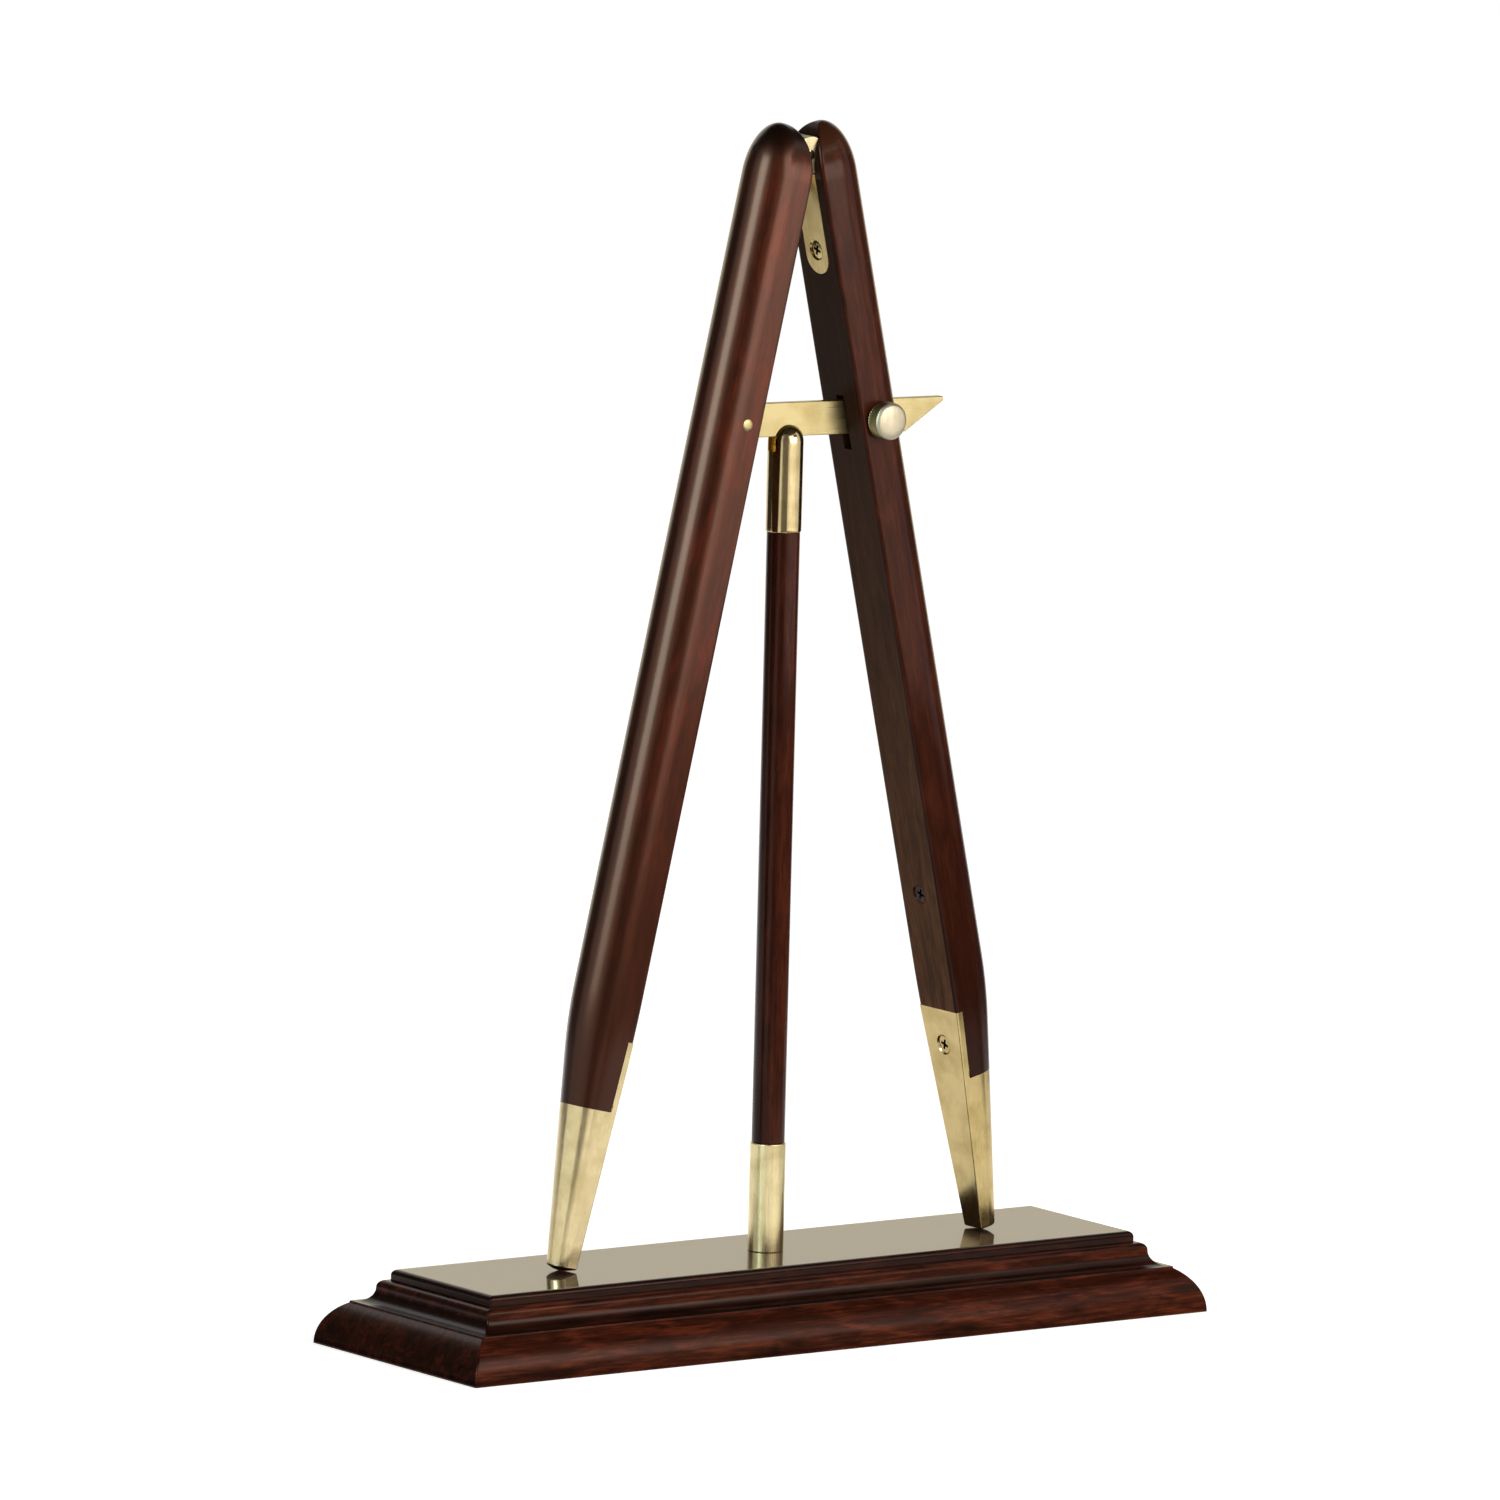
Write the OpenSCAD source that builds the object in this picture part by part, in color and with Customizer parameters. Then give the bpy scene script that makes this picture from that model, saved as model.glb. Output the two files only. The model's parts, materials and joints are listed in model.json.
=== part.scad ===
// Miniature pace stick: a pair of wooden dividers standing open on a moulded plinth.
// Units are millimetres. X runs along the plinth, Y to the back and Z up.
// The origin is the centre of the plinth's underside.

/* [Plinth] */
// length of the plinth
base_len = 226; // [200:1:260]
// depth of the plinth, front to back
base_dep = 71; // [60:1:90]
// height of the plinth
base_h = 19.6; // [18:0.1:24]
// radius of the large rounded foot moulding
ovolo_r = 12.2; // [11.6:0.1:13]
// how far the foot moulding runs in before its ledge
ovolo_in = 6.3; // [5.5:0.1:7]
// radius of the hollow moulding above the ledge
cove_r = 3.7; // [3:0.1:4.2]
// thickness of the top slab
slab_t = 2.8; // [2.2:0.1:3.4]
// rounding of the top slab's edge
slab_r = 1.4; // [0.8:0.1:1.8]

/* [Stick] */
// length of a leg from the hinge axis to its sole
leg_len = 283.8; // [260:0.2:310]
// width of a leg, front to back
leg_w = 16.6; // [15:0.1:19]
// thickness of a leg, from its flat inner face outwards
leg_t = 14.2; // [13:0.1:17]
// rounding of the two edges of the inner face
edge_r = 1; // [0.5:0.1:1.5]
// angle of each leg from the vertical
leg_angle = 12.7; // [11.5:0.1:14]
// height of the rounded top of a leg
dome_h = 13.5; // [12:0.1:16]
// how far the rounded top stands above the hinge axis
dome_up = 6.5; // [5.8:0.1:7.5]
// length of a leg that tapers, up from its sole
taper_len = 62; // [60:0.5:72]
// share of the leg's section that is left at the sole
sole_share = 0.43; // [0.36:0.01:0.55]
// distance of the stick's centre from the rod, along the plinth
stick_x = 2.1; // [0:0.1:3]

/* [Shoes] */
// length of a shoe below the wood
shoe_len = 40.5; // [34:0.5:48]
// length of the shoe's tongue up the inner face
tongue_len = 18; // [15:0.5:24]
// thickness of the tongue
tongue_t = 1.8; // [1.5:0.1:2.4]

/* [Hinge] */
// radius of the hinge knuckles
knuckle_r = 4.8; // [4:0.1:5.2]
// width of a hinge leaf
leaf_w = 9.2; // [8.4:0.1:10.2]
// length of a hinge leaf from the hinge axis
leaf_len = 31.5; // [27:0.5:38]
// thickness of a hinge leaf
leaf_t = 1.5; // [1.2:0.1:2]
// diameter of the hinge pin
hinge_pin_d = 2.6; // [2:0.1:3.2]

/* [Stay bar] */
// height of the bar
bar_h = 8.5; // [7:0.1:9.2]
// thickness of the bar
bar_t = 2.5; // [2:0.1:3]
// length of the bar from its pin to its tip
bar_len = 65.2; // [58:0.2:74]
// how far the slanted end runs back
bar_slant = 11.4; // [8:0.2:14]
// distance of the bar's pin from the hinge axis, down the left leg
pin_down = 68.9; // [68:0.1:70]
// depth of the bar's pin behind the inner face of the left leg
pin_in = 4.5; // [4.2:0.1:6]
// distance of the thumbscrew from the hinge axis, down the right leg
clamp_down = 70.3; // [69.2:0.1:71]
// depth of the thumbscrew behind the inner face of the right leg
clamp_in = 6; // [5:0.1:6.6]
// diameter of the bar's pin
pivot_d = 3; // [2.4:0.1:3.6]
// height of the mortise in each leg
mortise_h = 14.2; // [13.8:0.1:16]

/* [Thumbscrew] */
// diameter of the head
knob_d = 9.4; // [8:0.1:11]
// thickness of the head
knob_t = 4.4; // [3.6:0.1:6]
// diameter of the shank
shank_d = 3; // [2.6:0.1:3.6]
// diameter of the bush the shank runs in
bush_d = 5; // [4.4:0.1:6]

/* [Rod] */
// diameter of the wooden rod
rod_d = 8.4; // [7.8:0.1:8.8]
// diameter of the brass ferrule and cap
brass_d = 9; // [8.9:0.1:10]
// length of the ferrule
ferrule_len = 27.5; // [22:0.5:34]
// length of the cap
cap_len = 27.2; // [24:0.2:34]
// depth of the fork in the cap
fork_depth = 6.8; // [6:0.1:8]
// space between the bar and the floor of the fork
fork_gap = 3.6; // [2.8:0.1:4.4]

/* [Screws] */
// diameter of the countersunk heads
head_d = 4.8; // [4:0.1:5.6]
// diameter of the screw shanks
screw_d = 2.4; // [2:0.1:2.8]
// length of the screws
screw_len = 9; // [7:0.5:11]
// diameter of the head of the screw under the plinth
fix_head_d = 9; // [7:0.5:10]
// diameter of the shank of the screw under the plinth
fix_d = 4; // [3:0.2:4.4]
// length of that shank inside the rod
fix_grip = 8; // [5:0.5:11]
// distance of the small dark screw from the hinge axis
inner_screw_down = 194.8; // [150:0.2:197]

/* [Clearances] */
// space between pieces that move past each other
run = 0.3; // [0.25:0.05:0.35]
// radial clearance of a pin that turns
pin_fit = 0.05; // [0.02:0.01:0.08]
// radial clearance of a fixed piece in its seat
seat_fit = 0.02; // [0.01:0.01:0.04]

/* [Hidden] */
$fn = 48;
half_gap = 0.25;
fillet_t = 0.5;
fillet_in = 1;
slab_step = 2.6;
ledge_z = sqrt(ovolo_r * ovolo_r - (ovolo_r - ovolo_in) * (ovolo_r - ovolo_in)) + fillet_t;
cove_in = ovolo_in + fillet_in;
neck_in = cove_in + cove_r;
slab_in = neck_in + slab_step;
slab_z = base_h - slab_t;
taper_bend = 16;
taper_mid = leg_len - taper_len;
taper_from = taper_mid - taper_bend / 2;
wood_end = leg_len - shoe_len;
tongue_top = wood_end - tongue_len;
hinge_z = base_h + run + leg_len * cos(leg_angle) - half_gap * sin(leg_angle);
function out_x(d, s) = (half_gap + d) * cos(leg_angle) + s * sin(leg_angle);
function out_z(d, s) = hinge_z + (half_gap + d) * sin(leg_angle) - s * cos(leg_angle);
pin_x = stick_x - out_x(pin_in, pin_down);
pin_z = out_z(pin_in, pin_down);
clamp_x = stick_x + out_x(clamp_in, clamp_down);
clamp_z = out_z(clamp_in, clamp_down);
bar_dip = atan2(pin_z - clamp_z, clamp_x - pin_x);
bar_z = pin_z + pin_x * tan(bar_dip);
mortise_w = bar_t + 2 * run;
fork_z = bar_z - bar_h / 2 - fork_gap;
cap_top = fork_z + fork_depth;
cap_z = cap_top - cap_len;
spigot_d = rod_d - 1.6;
spigot_len = 12;
leaf_screw_down = leaf_len - leaf_w / 2 - 1.6;
shoe_screw_down = tongue_top + tongue_len * 0.53;
knuckle_mid = leaf_w * 0.36;
cavity_r = knuckle_r + run + 0.1;
chamfer = 0.3;
head_h = (head_d - screw_d) / 2;
hole_len = screw_len + 0.5;
recess_w = 0.7;
recess_depth = 0.8;
recess_turn = 20;
fix_head_h = (fix_head_d - fix_d) / 2;

mahogany = [0.28, 0.11, 0.07];
brass = [0.80, 0.66, 0.32];
dark = [0.12, 0.10, 0.09];

// A leg's own frame: the hinge axis is Y through the origin, the leg hangs down -Z, and +X is outwards.
module on_right() {
    translate([stick_x, 0, hinge_z]) rotate([0, -leg_angle, 0]) children();
}

module on_left() {
    translate([stick_x, 0, hinge_z]) mirror([1, 0, 0]) rotate([0, -leg_angle, 0]) children();
}

// A cylinder that runs outwards into the leg from depth x on its inner face.
module into_leg(x, down, d, len) {
    translate([half_gap + x, 0, -down]) rotate([0, 90, 0]) cylinder(d = d, h = len);
}

// Cross-section of a leg: flat inner face on x = 0, straight sides, half-round back.
module leg_section() {
    translate([leg_t - leg_w / 2, 0]) intersection() {
        circle(d = leg_w, $fn = 64);
        translate([-0.5, -leg_w]) square([leg_w, 2 * leg_w]);
    }
    translate([edge_r, -leg_w / 2]) square([leg_t - leg_w / 2 - edge_r, leg_w]);
    translate([0, edge_r - leg_w / 2]) square([edge_r, leg_w - 2 * edge_r]);
    for (s = [-1, 1])
        translate([edge_r, s * (leg_w / 2 - edge_r)]) circle(r = edge_r, $fn = 24);
}

// The same cross-section as points, for the rounded top and the taper.
function arc_points(c, r, a0, a1, n) =
    [for (i = [0:n]) let (a = a0 + (a1 - a0) * i / n) [c[0] + r * cos(a), c[1] + r * sin(a)]];
function section_points(k) = concat(
    arc_points([edge_r, edge_r - leg_w / 2], edge_r - k, 180, 270, 3),
    arc_points([leg_t - leg_w / 2, 0], leg_w / 2 - k, -90, 90, 22),
    arc_points([edge_r, leg_w / 2 - edge_r], edge_r - k, 90, 180, 3));

// Skin through a list of levels, each [z, scale, inset], scaled about the point c of the section.
module loft(levels, c) {
    n = len(section_points(0));
    m = len(levels);
    pts = [for (lv = levels) for (p = section_points(lv[2]))
        [half_gap + c[0] + (p[0] - c[0]) * lv[1], c[1] + (p[1] - c[1]) * lv[1], lv[0]]];
    low = [[for (i = [0:n - 1]) i]];
    high = [[for (i = [0:n - 1]) (m - 1) * n + n - 1 - i]];
    sides = [for (j = [0:m - 2]) for (i = [0:n - 1])
        [j * n + i, (j + 1) * n + i, (j + 1) * n + (i + 1) % n, j * n + (i + 1) % n]];
    polyhedron(points = pts, faces = concat(low, high, sides));
}

// Share of the full section at distance s down the leg: an even taper with a soft start.
function taper_run(s) = s > taper_mid + taper_bend / 2 ? s - taper_mid
    : pow(max(0, s - taper_from), 2) / (2 * taper_bend);
function taper_share(s) = 1 - (1 - sole_share) * taper_run(s) / taper_len;

function steps(s0, s1, n) = [for (i = [0:n - 1]) s0 + (s1 - s0) * i / n];

// Tapered length of a leg through a list of distances from the hinge, lowest first.
module taper(list) {
    loft([for (s = list) [-s, taper_share(s), 0.03]], [0, 0]);
}

module leg_blank() {
    dome_z = dome_up - dome_h;
    translate([half_gap, 0, -taper_from]) linear_extrude(height = taper_from + dome_z) leg_section();
    loft(concat([[dome_z - 2, 1, 0.03]],
        [for (t = [0, 0.2, 0.38, 0.54, 0.68, 0.79, 0.88, 0.94, 0.98, 0.997])
            [dome_z + dome_h * t, sqrt(1 - t * t), 0.03]]), [leg_t / 2, 0]);
    taper(concat(steps(wood_end, tongue_top, 6), steps(tongue_top, taper_from, 6), [taper_from - 2]));
}

// Outline of a hinge leaf as a plate of thickness t, grown by g all round.
module leaf_plate(t, g) {
    translate([half_gap, 0, 0]) {
        translate([0, -leaf_w / 2 - g, -(leaf_len - leaf_w / 2)])
            cube([t, leaf_w + 2 * g, leaf_len - leaf_w / 2]);
        translate([0, 0, -(leaf_len - leaf_w / 2)]) rotate([0, 90, 0])
            cylinder(d = leaf_w + 2 * g, h = t);
    }
}

// A cylinder along the hinge axis, from y0 to y1.
module along_hinge(r, y0, y1) {
    translate([0, y1, 0]) rotate([90, 0, 0]) cylinder(r = r, h = y1 - y0);
}

// A leg without the cuts for the bar.
module plain_leg() {
    difference() {
        leg_blank();
        along_hinge(cavity_r, -leaf_w / 2 - run, leaf_w / 2 + run);
        translate([-1, 0, 0]) leaf_plate(leaf_t + 1, seat_fit);
        into_leg(0, leaf_screw_down, screw_d + 2 * seat_fit, hole_len);
        translate([half_gap - 1, -leg_w, -wood_end - 1])
            cube([tongue_t + 1, 2 * leg_w, tongue_len + 1]);
        into_leg(0, shoe_screw_down, screw_d + 2 * seat_fit, hole_len);
    }
}

// Countersunk screw with a cross recess, its head flush with depth x of the leg.
module leg_screw(x, down) {
    difference() {
        translate([half_gap + x, 0, -down]) rotate([0, 90, 0]) {
            cylinder(d1 = head_d, d2 = screw_d, h = head_h);
            cylinder(d = screw_d, h = screw_len);
        }
        for (a = [0, 90])
            translate([half_gap + x, 0, -down]) rotate([a + recess_turn, 0, 0])
                translate([-1, -head_d * 0.3, -recess_w / 2])
                    cube([1 + recess_depth, head_d * 0.6, recess_w]);
    }
}

// Countersink and hole for the same screw.
module leg_screw_seat(x, down) {
    translate([half_gap + x, 0, -down]) rotate([0, 90, 0]) {
        cylinder(d1 = head_d, d2 = screw_d, h = head_h);
        cylinder(d = screw_d + 2 * seat_fit, h = hole_len);
    }
}

module base_profile(w) {
    translate([-w / 2 + ovolo_r, 0]) square([w - 2 * ovolo_r, ledge_z]);
    for (s = [-1, 1])
        intersection() {
            translate([s * (w / 2 - ovolo_r), 0]) circle(r = ovolo_r, $fn = 96);
            translate([-w / 2, 0]) square([w, ledge_z - fillet_t]);
        }
    translate([-w / 2 + ovolo_in, 1]) square([w - 2 * ovolo_in, ledge_z - 1]);
    difference() {
        translate([-w / 2 + cove_in, 1]) square([w - 2 * cove_in, ledge_z + cove_r - 1]);
        for (s = [-1, 1])
            translate([s * (w / 2 - cove_in), ledge_z + cove_r]) circle(r = cove_r);
    }
    translate([-w / 2 + neck_in, 1]) square([w - 2 * neck_in, slab_z - 1]);
    translate([-w / 2 + slab_in, 1]) square([w - 2 * slab_in, base_h - slab_r - 1]);
    translate([-w / 2 + slab_in + slab_r, 1]) square([w - 2 * slab_in - 2 * slab_r, base_h - 1]);
    for (s = [-1, 1])
        translate([s * (w / 2 - slab_in - slab_r), base_h - slab_r]) circle(r = slab_r, $fn = 24);
}

module base_plinth() {
    color(mahogany) difference() {
        intersection() {
            translate([0, base_dep / 2, 0]) rotate([90, 0, 0])
                linear_extrude(height = base_dep) base_profile(base_len);
            translate([-base_len / 2, 0, 0]) rotate([90, 0, 90])
                linear_extrude(height = base_len) base_profile(base_dep);
        }
        translate([0, 0, -1]) cylinder(d = fix_d + 2 * seat_fit, h = base_h + 2);
        translate([0, 0, -0.01]) cylinder(d1 = fix_head_d + 0.02, d2 = fix_d, h = fix_head_h + 0.01);
    }
}

module rod_fixing_screw() {
    color(dark) difference() {
        union() {
            cylinder(d1 = fix_head_d, d2 = fix_d, h = fix_head_h);
            cylinder(d = fix_d, h = base_h + fix_grip);
            translate([0, 0, base_h + fix_grip]) cylinder(d1 = fix_d, d2 = fix_d * 0.15, h = fix_d);
        }
        for (a = [0, 90])
            rotate([0, 0, a]) translate([-fix_d * 0.6, -fix_d * 0.13, -1])
                cube([fix_d * 1.2, fix_d * 0.26, 1 + fix_d * 0.4]);
    }
}

module centre_rod() {
    color(mahogany) difference() {
        union() {
            translate([0, 0, base_h]) cylinder(d = spigot_d, h = ferrule_len + 1);
            translate([0, 0, base_h + ferrule_len]) cylinder(d = rod_d, h = cap_z - base_h - ferrule_len);
            translate([0, 0, cap_z - 1]) cylinder(d = spigot_d, h = spigot_len + 1);
        }
        translate([0, 0, base_h - 1]) cylinder(d = fix_d + 2 * seat_fit, h = fix_grip + 1.2);
        translate([0, 0, base_h + fix_grip])
            cylinder(d1 = fix_d + 2 * seat_fit, d2 = fix_d * 0.15, h = fix_d * 1.1);
    }
}

module rod_ferrule() {
    r = brass_d / 2;
    color(brass) translate([0, 0, base_h]) difference() {
        rotate_extrude($fn = 64)
            polygon([[0, 0], [r - chamfer, 0], [r, chamfer], [r, ferrule_len - chamfer],
                     [r - chamfer, ferrule_len], [0, ferrule_len]]);
        translate([0, 0, -1]) cylinder(d = spigot_d + 2 * seat_fit, h = ferrule_len + 2);
    }
}

module rod_cap() {
    r = brass_d / 2;
    color(brass) difference() {
        union() {
            translate([0, 0, cap_z]) cylinder(r = r, h = cap_len - r, $fn = 64);
            translate([0, 0, cap_top - r]) intersection() {
                sphere(r = r, $fn = 64);
                translate([-r, -r, 0]) cube([2 * r, 2 * r, r + 1]);
            }
        }
        translate([0, 0, cap_z - 1]) cylinder(d = spigot_d + 2 * seat_fit, h = spigot_len + 1.1);
        translate([-r - 1, -mortise_w / 2, fork_z]) cube([2 * r + 2, mortise_w, fork_depth + 1]);
    }
}

module hinge_pin() {
    color(brass) translate([stick_x, 0, hinge_z])
        along_hinge(hinge_pin_d / 2, -leaf_w / 2 + 0.1, leaf_w / 2 - 0.1);
}

// Hinge leaf with its countersunk hole. The left leaf has the outer knuckles, the right leaf the middle one.
module hinge_leaf(outer) {
    h = knuckle_mid / 2;
    color(brass) difference() {
        union() {
            difference() {
                leaf_plate(leaf_t, 0);
                if (outer) along_hinge(knuckle_r + run, -h - run, h + run);
                else for (s = [-1, 1])
                    along_hinge(knuckle_r + run, s < 0 ? -leaf_w : h, s < 0 ? -h : leaf_w);
            }
            if (outer) {
                along_hinge(knuckle_r, -leaf_w / 2, -h - run);
                along_hinge(knuckle_r, h + run, leaf_w / 2);
            }
            else along_hinge(knuckle_r, -h, h);
        }
        along_hinge(hinge_pin_d / 2 + pin_fit, -leaf_w, leaf_w);
        leg_screw_seat(0, leaf_screw_down);
    }
}

module left_hinge_leaf() {
    on_left() hinge_leaf(true);
}

module right_hinge_leaf() {
    on_right() hinge_leaf(false);
}

module left_leaf_screw() {
    color(brass) on_left() leg_screw(0, leaf_screw_down);
}

module right_leaf_screw() {
    color(brass) on_right() leg_screw(0, leaf_screw_down);
}

module shoe() {
    color(brass) difference() {
        taper(concat(steps(leg_len, wood_end, 3), steps(wood_end, tongue_top, 6), [tongue_top]));
        translate([half_gap + tongue_t, -leg_w, -wood_end]) cube([leg_t, 2 * leg_w, tongue_len + 1]);
        leg_screw_seat(0, shoe_screw_down);
    }
}

module left_shoe() {
    on_left() shoe();
}

module right_shoe() {
    on_right() shoe();
}

module left_shoe_screw() {
    color(brass) on_left() leg_screw(0, shoe_screw_down);
}

module right_shoe_screw() {
    color(brass) on_right() leg_screw(0, shoe_screw_down);
}

module left_leg() {
    color(mahogany) on_left() difference() {
        plain_leg();
        translate([half_gap - 1, -mortise_w / 2, -pin_down - mortise_h / 2])
            cube([1 + pin_in + bar_h / 2 + 0.6, mortise_w, mortise_h]);
        translate([half_gap + pin_in, leg_w, -pin_down]) rotate([90, 0, 0])
            cylinder(d = pivot_d + 2 * seat_fit, h = 2 * leg_w);
    }
}

module stay_pivot_pin() {
    color(brass) on_left() translate([half_gap + pin_in, leg_w / 2, -pin_down]) rotate([90, 0, 0])
        cylinder(d = pivot_d, h = leg_w);
}

module right_leg() {
    color(mahogany) on_right() difference() {
        plain_leg();
        translate([half_gap - 1, -mortise_w / 2, -clamp_down - mortise_h / 2])
            cube([leg_t + 2, mortise_w, mortise_h]);
        translate([half_gap + clamp_in, 0, -clamp_down]) rotate([90, 0, 0])
            cylinder(d = bush_d + 2 * seat_fit, h = leg_w);
        leg_screw_seat(0, inner_screw_down);
    }
}

module inner_face_screw() {
    color(dark) on_right() leg_screw(0, inner_screw_down);
}

module clamp_bush() {
    color(brass) on_right() translate([half_gap + clamp_in, -mortise_w / 2, -clamp_down]) rotate([90, 0, 0])
        difference() {
            cylinder(d = bush_d, h = (leg_w - mortise_w) / 2);
            translate([0, 0, -1]) cylinder(d = shank_d + 2 * pin_fit, h = leg_w);
        }
}

module stay_bar() {
    tip = bar_h * 0.12;
    color(brass) translate([pin_x, bar_t / 2, pin_z]) rotate([0, bar_dip, 0]) rotate([90, 0, 0])
        linear_extrude(height = bar_t) difference() {
            union() {
                circle(d = bar_h);
                polygon([[0, -bar_h / 2], [bar_len - bar_slant, -bar_h / 2], [bar_len, bar_h / 2 - tip],
                         [bar_len, bar_h / 2], [0, bar_h / 2]]);
            }
            circle(d = pivot_d + 2 * pin_fit);
        }
}

module thumbscrew() {
    r = knob_d / 2;
    shank = leg_w / 2 + run - bar_t / 2 - run;
    color(brass) translate([clamp_x, -bar_t / 2 - run, clamp_z]) rotate([90, 0, 0])
        rotate_extrude($fn = 64)
            polygon([[0, 0], [shank_d / 2 - chamfer, 0], [shank_d / 2, chamfer], [shank_d / 2, shank],
                     [r - 0.2, shank], [r, shank + 0.2], [r, shank + knob_t - 0.9],
                     [r - 0.7, shank + knob_t - 0.3], [r - 2, shank + knob_t], [0, shank + knob_t]]);
}

base_plinth();
centre_rod();
rod_ferrule();
rod_cap();
rod_fixing_screw();
hinge_pin();
left_leg();
left_hinge_leaf();
left_leaf_screw();
left_shoe();
left_shoe_screw();
stay_pivot_pin();
right_leg();
right_hinge_leaf();
right_leaf_screw();
right_shoe();
right_shoe_screw();
inner_face_screw();
clamp_bush();
stay_bar();
thumbscrew();
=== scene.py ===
"""Looks of a miniature pace stick: mahogany dividers with brass fittings, standing open on a moulded plinth.

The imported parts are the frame. Each part that shows is made again here as a fine surface, in millimetres and
in the same place, and gets the finish of the real one. X runs along the plinth, Y to the back and Z up.
"""
import json
import math

import bmesh
import bpy
import numpy as np
from mathutils import Matrix, Vector


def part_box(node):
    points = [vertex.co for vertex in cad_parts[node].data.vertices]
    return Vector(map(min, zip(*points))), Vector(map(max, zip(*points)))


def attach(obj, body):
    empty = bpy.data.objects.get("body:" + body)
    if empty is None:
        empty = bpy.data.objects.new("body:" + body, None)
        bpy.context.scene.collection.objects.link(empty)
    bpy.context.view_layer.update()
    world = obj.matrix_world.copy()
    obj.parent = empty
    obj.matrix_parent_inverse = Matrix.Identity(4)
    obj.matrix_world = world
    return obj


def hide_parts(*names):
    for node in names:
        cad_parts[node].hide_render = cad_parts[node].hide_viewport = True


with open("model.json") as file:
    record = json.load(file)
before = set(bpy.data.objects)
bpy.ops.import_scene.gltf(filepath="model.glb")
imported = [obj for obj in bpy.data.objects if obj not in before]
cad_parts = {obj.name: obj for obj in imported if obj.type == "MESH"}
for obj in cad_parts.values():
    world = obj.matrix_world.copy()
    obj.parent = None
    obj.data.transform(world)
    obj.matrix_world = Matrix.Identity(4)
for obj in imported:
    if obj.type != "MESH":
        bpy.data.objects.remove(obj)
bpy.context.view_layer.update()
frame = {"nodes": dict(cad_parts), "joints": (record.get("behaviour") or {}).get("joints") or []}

MM = 0.001
AT = {joint["name"]: np.array(joint["pos_m"]) / MM for joint in frame["joints"] if "pos_m" in joint}


def size_of(node):
    """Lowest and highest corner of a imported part, in millimetres."""
    low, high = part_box(node)
    return np.array(low) / MM, np.array(high) / MM


# Sizes of the plinth's mouldings
BASE_LOW, BASE_HIGH = size_of("base_plinth")
BASE_LEN, BASE_DEP, BASE_H = BASE_HIGH - BASE_LOW
OVOLO_R = 12.2
OVOLO_IN = 6.3
FILLET_T = 0.5
FILLET_IN = 1.0
COVE_R = 3.7
SLAB_STEP = 2.6
SLAB_T = 2.8
SLAB_R = 1.4
SHOULDER_R = 1.8
MITRE_R = 0.5
FILLET_R = 0.25
LEDGE_Z = math.sqrt(OVOLO_R ** 2 - (OVOLO_R - OVOLO_IN) ** 2)
COVE_Z = LEDGE_Z + FILLET_T
SLAB_Z = BASE_H - SLAB_T

# Sizes of a leg, measured from the hinge axis
LEG_LEN = 283.8
LEG_W = 16.6
LEG_T = 14.2
LEG_ANGLE = math.radians(12.7)
EDGE_R = 1.0
SHOE_EDGE_R = 0.45
HALF_GAP = 0.25
DOME_H = 13.5
DOME_UP = 6.5
TAPER_LEN = 62.0
TAPER_BEND = 16.0
SOLE_SHARE = 0.43
SOLE_BULGE = 0.75
SHOE_LEN = 40.5
WOOD_END = LEG_LEN - SHOE_LEN
TONGUE_LEN = 18.0
TONGUE_T = 1.8
TONGUE_TOP = WOOD_END - TONGUE_LEN

# Sizes of the hinge
KNUCKLE_R = 4.8
KNUCKLE_MID = 3.31
LEAF_W = 9.2
LEAF_LEN = 31.5
LEAF_T = 1.5
HINGE_PIN_D = 2.6
LEAF_SCREW_DOWN = LEAF_LEN - LEAF_W / 2 - 1.6

# Sizes of the stay bar, its pin and its thumbscrew
BAR_H = 8.5
BAR_T = 2.5
BAR_LEN = 65.2
BAR_SLANT = 11.4
BAR_TIP = 1.0
PIVOT_D = 3.0
PIN_DOWN = 68.9
PIN_IN = 4.5
CLAMP_DOWN = 70.3
CLAMP_IN = 6.0
MORTISE_H = 14.2
POCKET_ROOM = 0.6
KNOB_D = 9.4
KNOB_T = 4.4
SHANK_D = 3.0
BUSH_D = 5.0

# Sizes of the rod and its brass
ROD_D = 8.4
BRASS_D = 9.0
SPIGOT_D = 6.8
SPIGOT_LEN = 12.0
CAP_LEN = 27.2
FORK_DEPTH = 6.8

# Sizes of the screws
HEAD_D = 4.8
SCREW_D = 2.4
SCREW_LEN = 9.0
FIX_HEAD_D = 9.0
FIX_D = 4.0
SCREW_SUNK = 0.3
RECESS_TURN = 20
INNER_SCREW_DOWN = 194.8
SHOE_SCREW_DOWN = TONGUE_TOP + TONGUE_LEN * 0.53

# Clearances
RUN = 0.3
PIN_FIT = 0.05
SEAT_FIT = 0.02
MORTISE_W = BAR_T + 2 * RUN

# How far a cutter reaches past a face, and how near to a plane a face's centre counts as on it
PAST = 1.0
HAIR = 0.01

# Directions in which an upright shape's x, y and z are laid: into a leg, and along the hinge axis
OUTWARDS = ((0, 1, 0), (0, 0, 1), (1, 0, 0))
BACKWARDS = ((1, 0, 0), (0, 0, 1), (0, 1, 0))


def arc(centre, radius, start, end, count):
    """Points centre + radius (cos a, sin a), for count + 1 angles a from start to end in degrees."""
    a = np.radians(np.linspace(start, end, count + 1))
    return np.column_stack([centre[0] + radius * np.cos(a), centre[1] + radius * np.sin(a)])


def between(a, b, count):
    """Points a + (b - a)(1 - cos t) / 2 on the line from a to b, without its ends and closer together near
    them."""
    t = np.linspace(0, np.pi, count + 2)[1:-1, None]
    return np.asarray(a) + (np.asarray(b) - np.asarray(a)) * (1 - np.cos(t)) / 2


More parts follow.
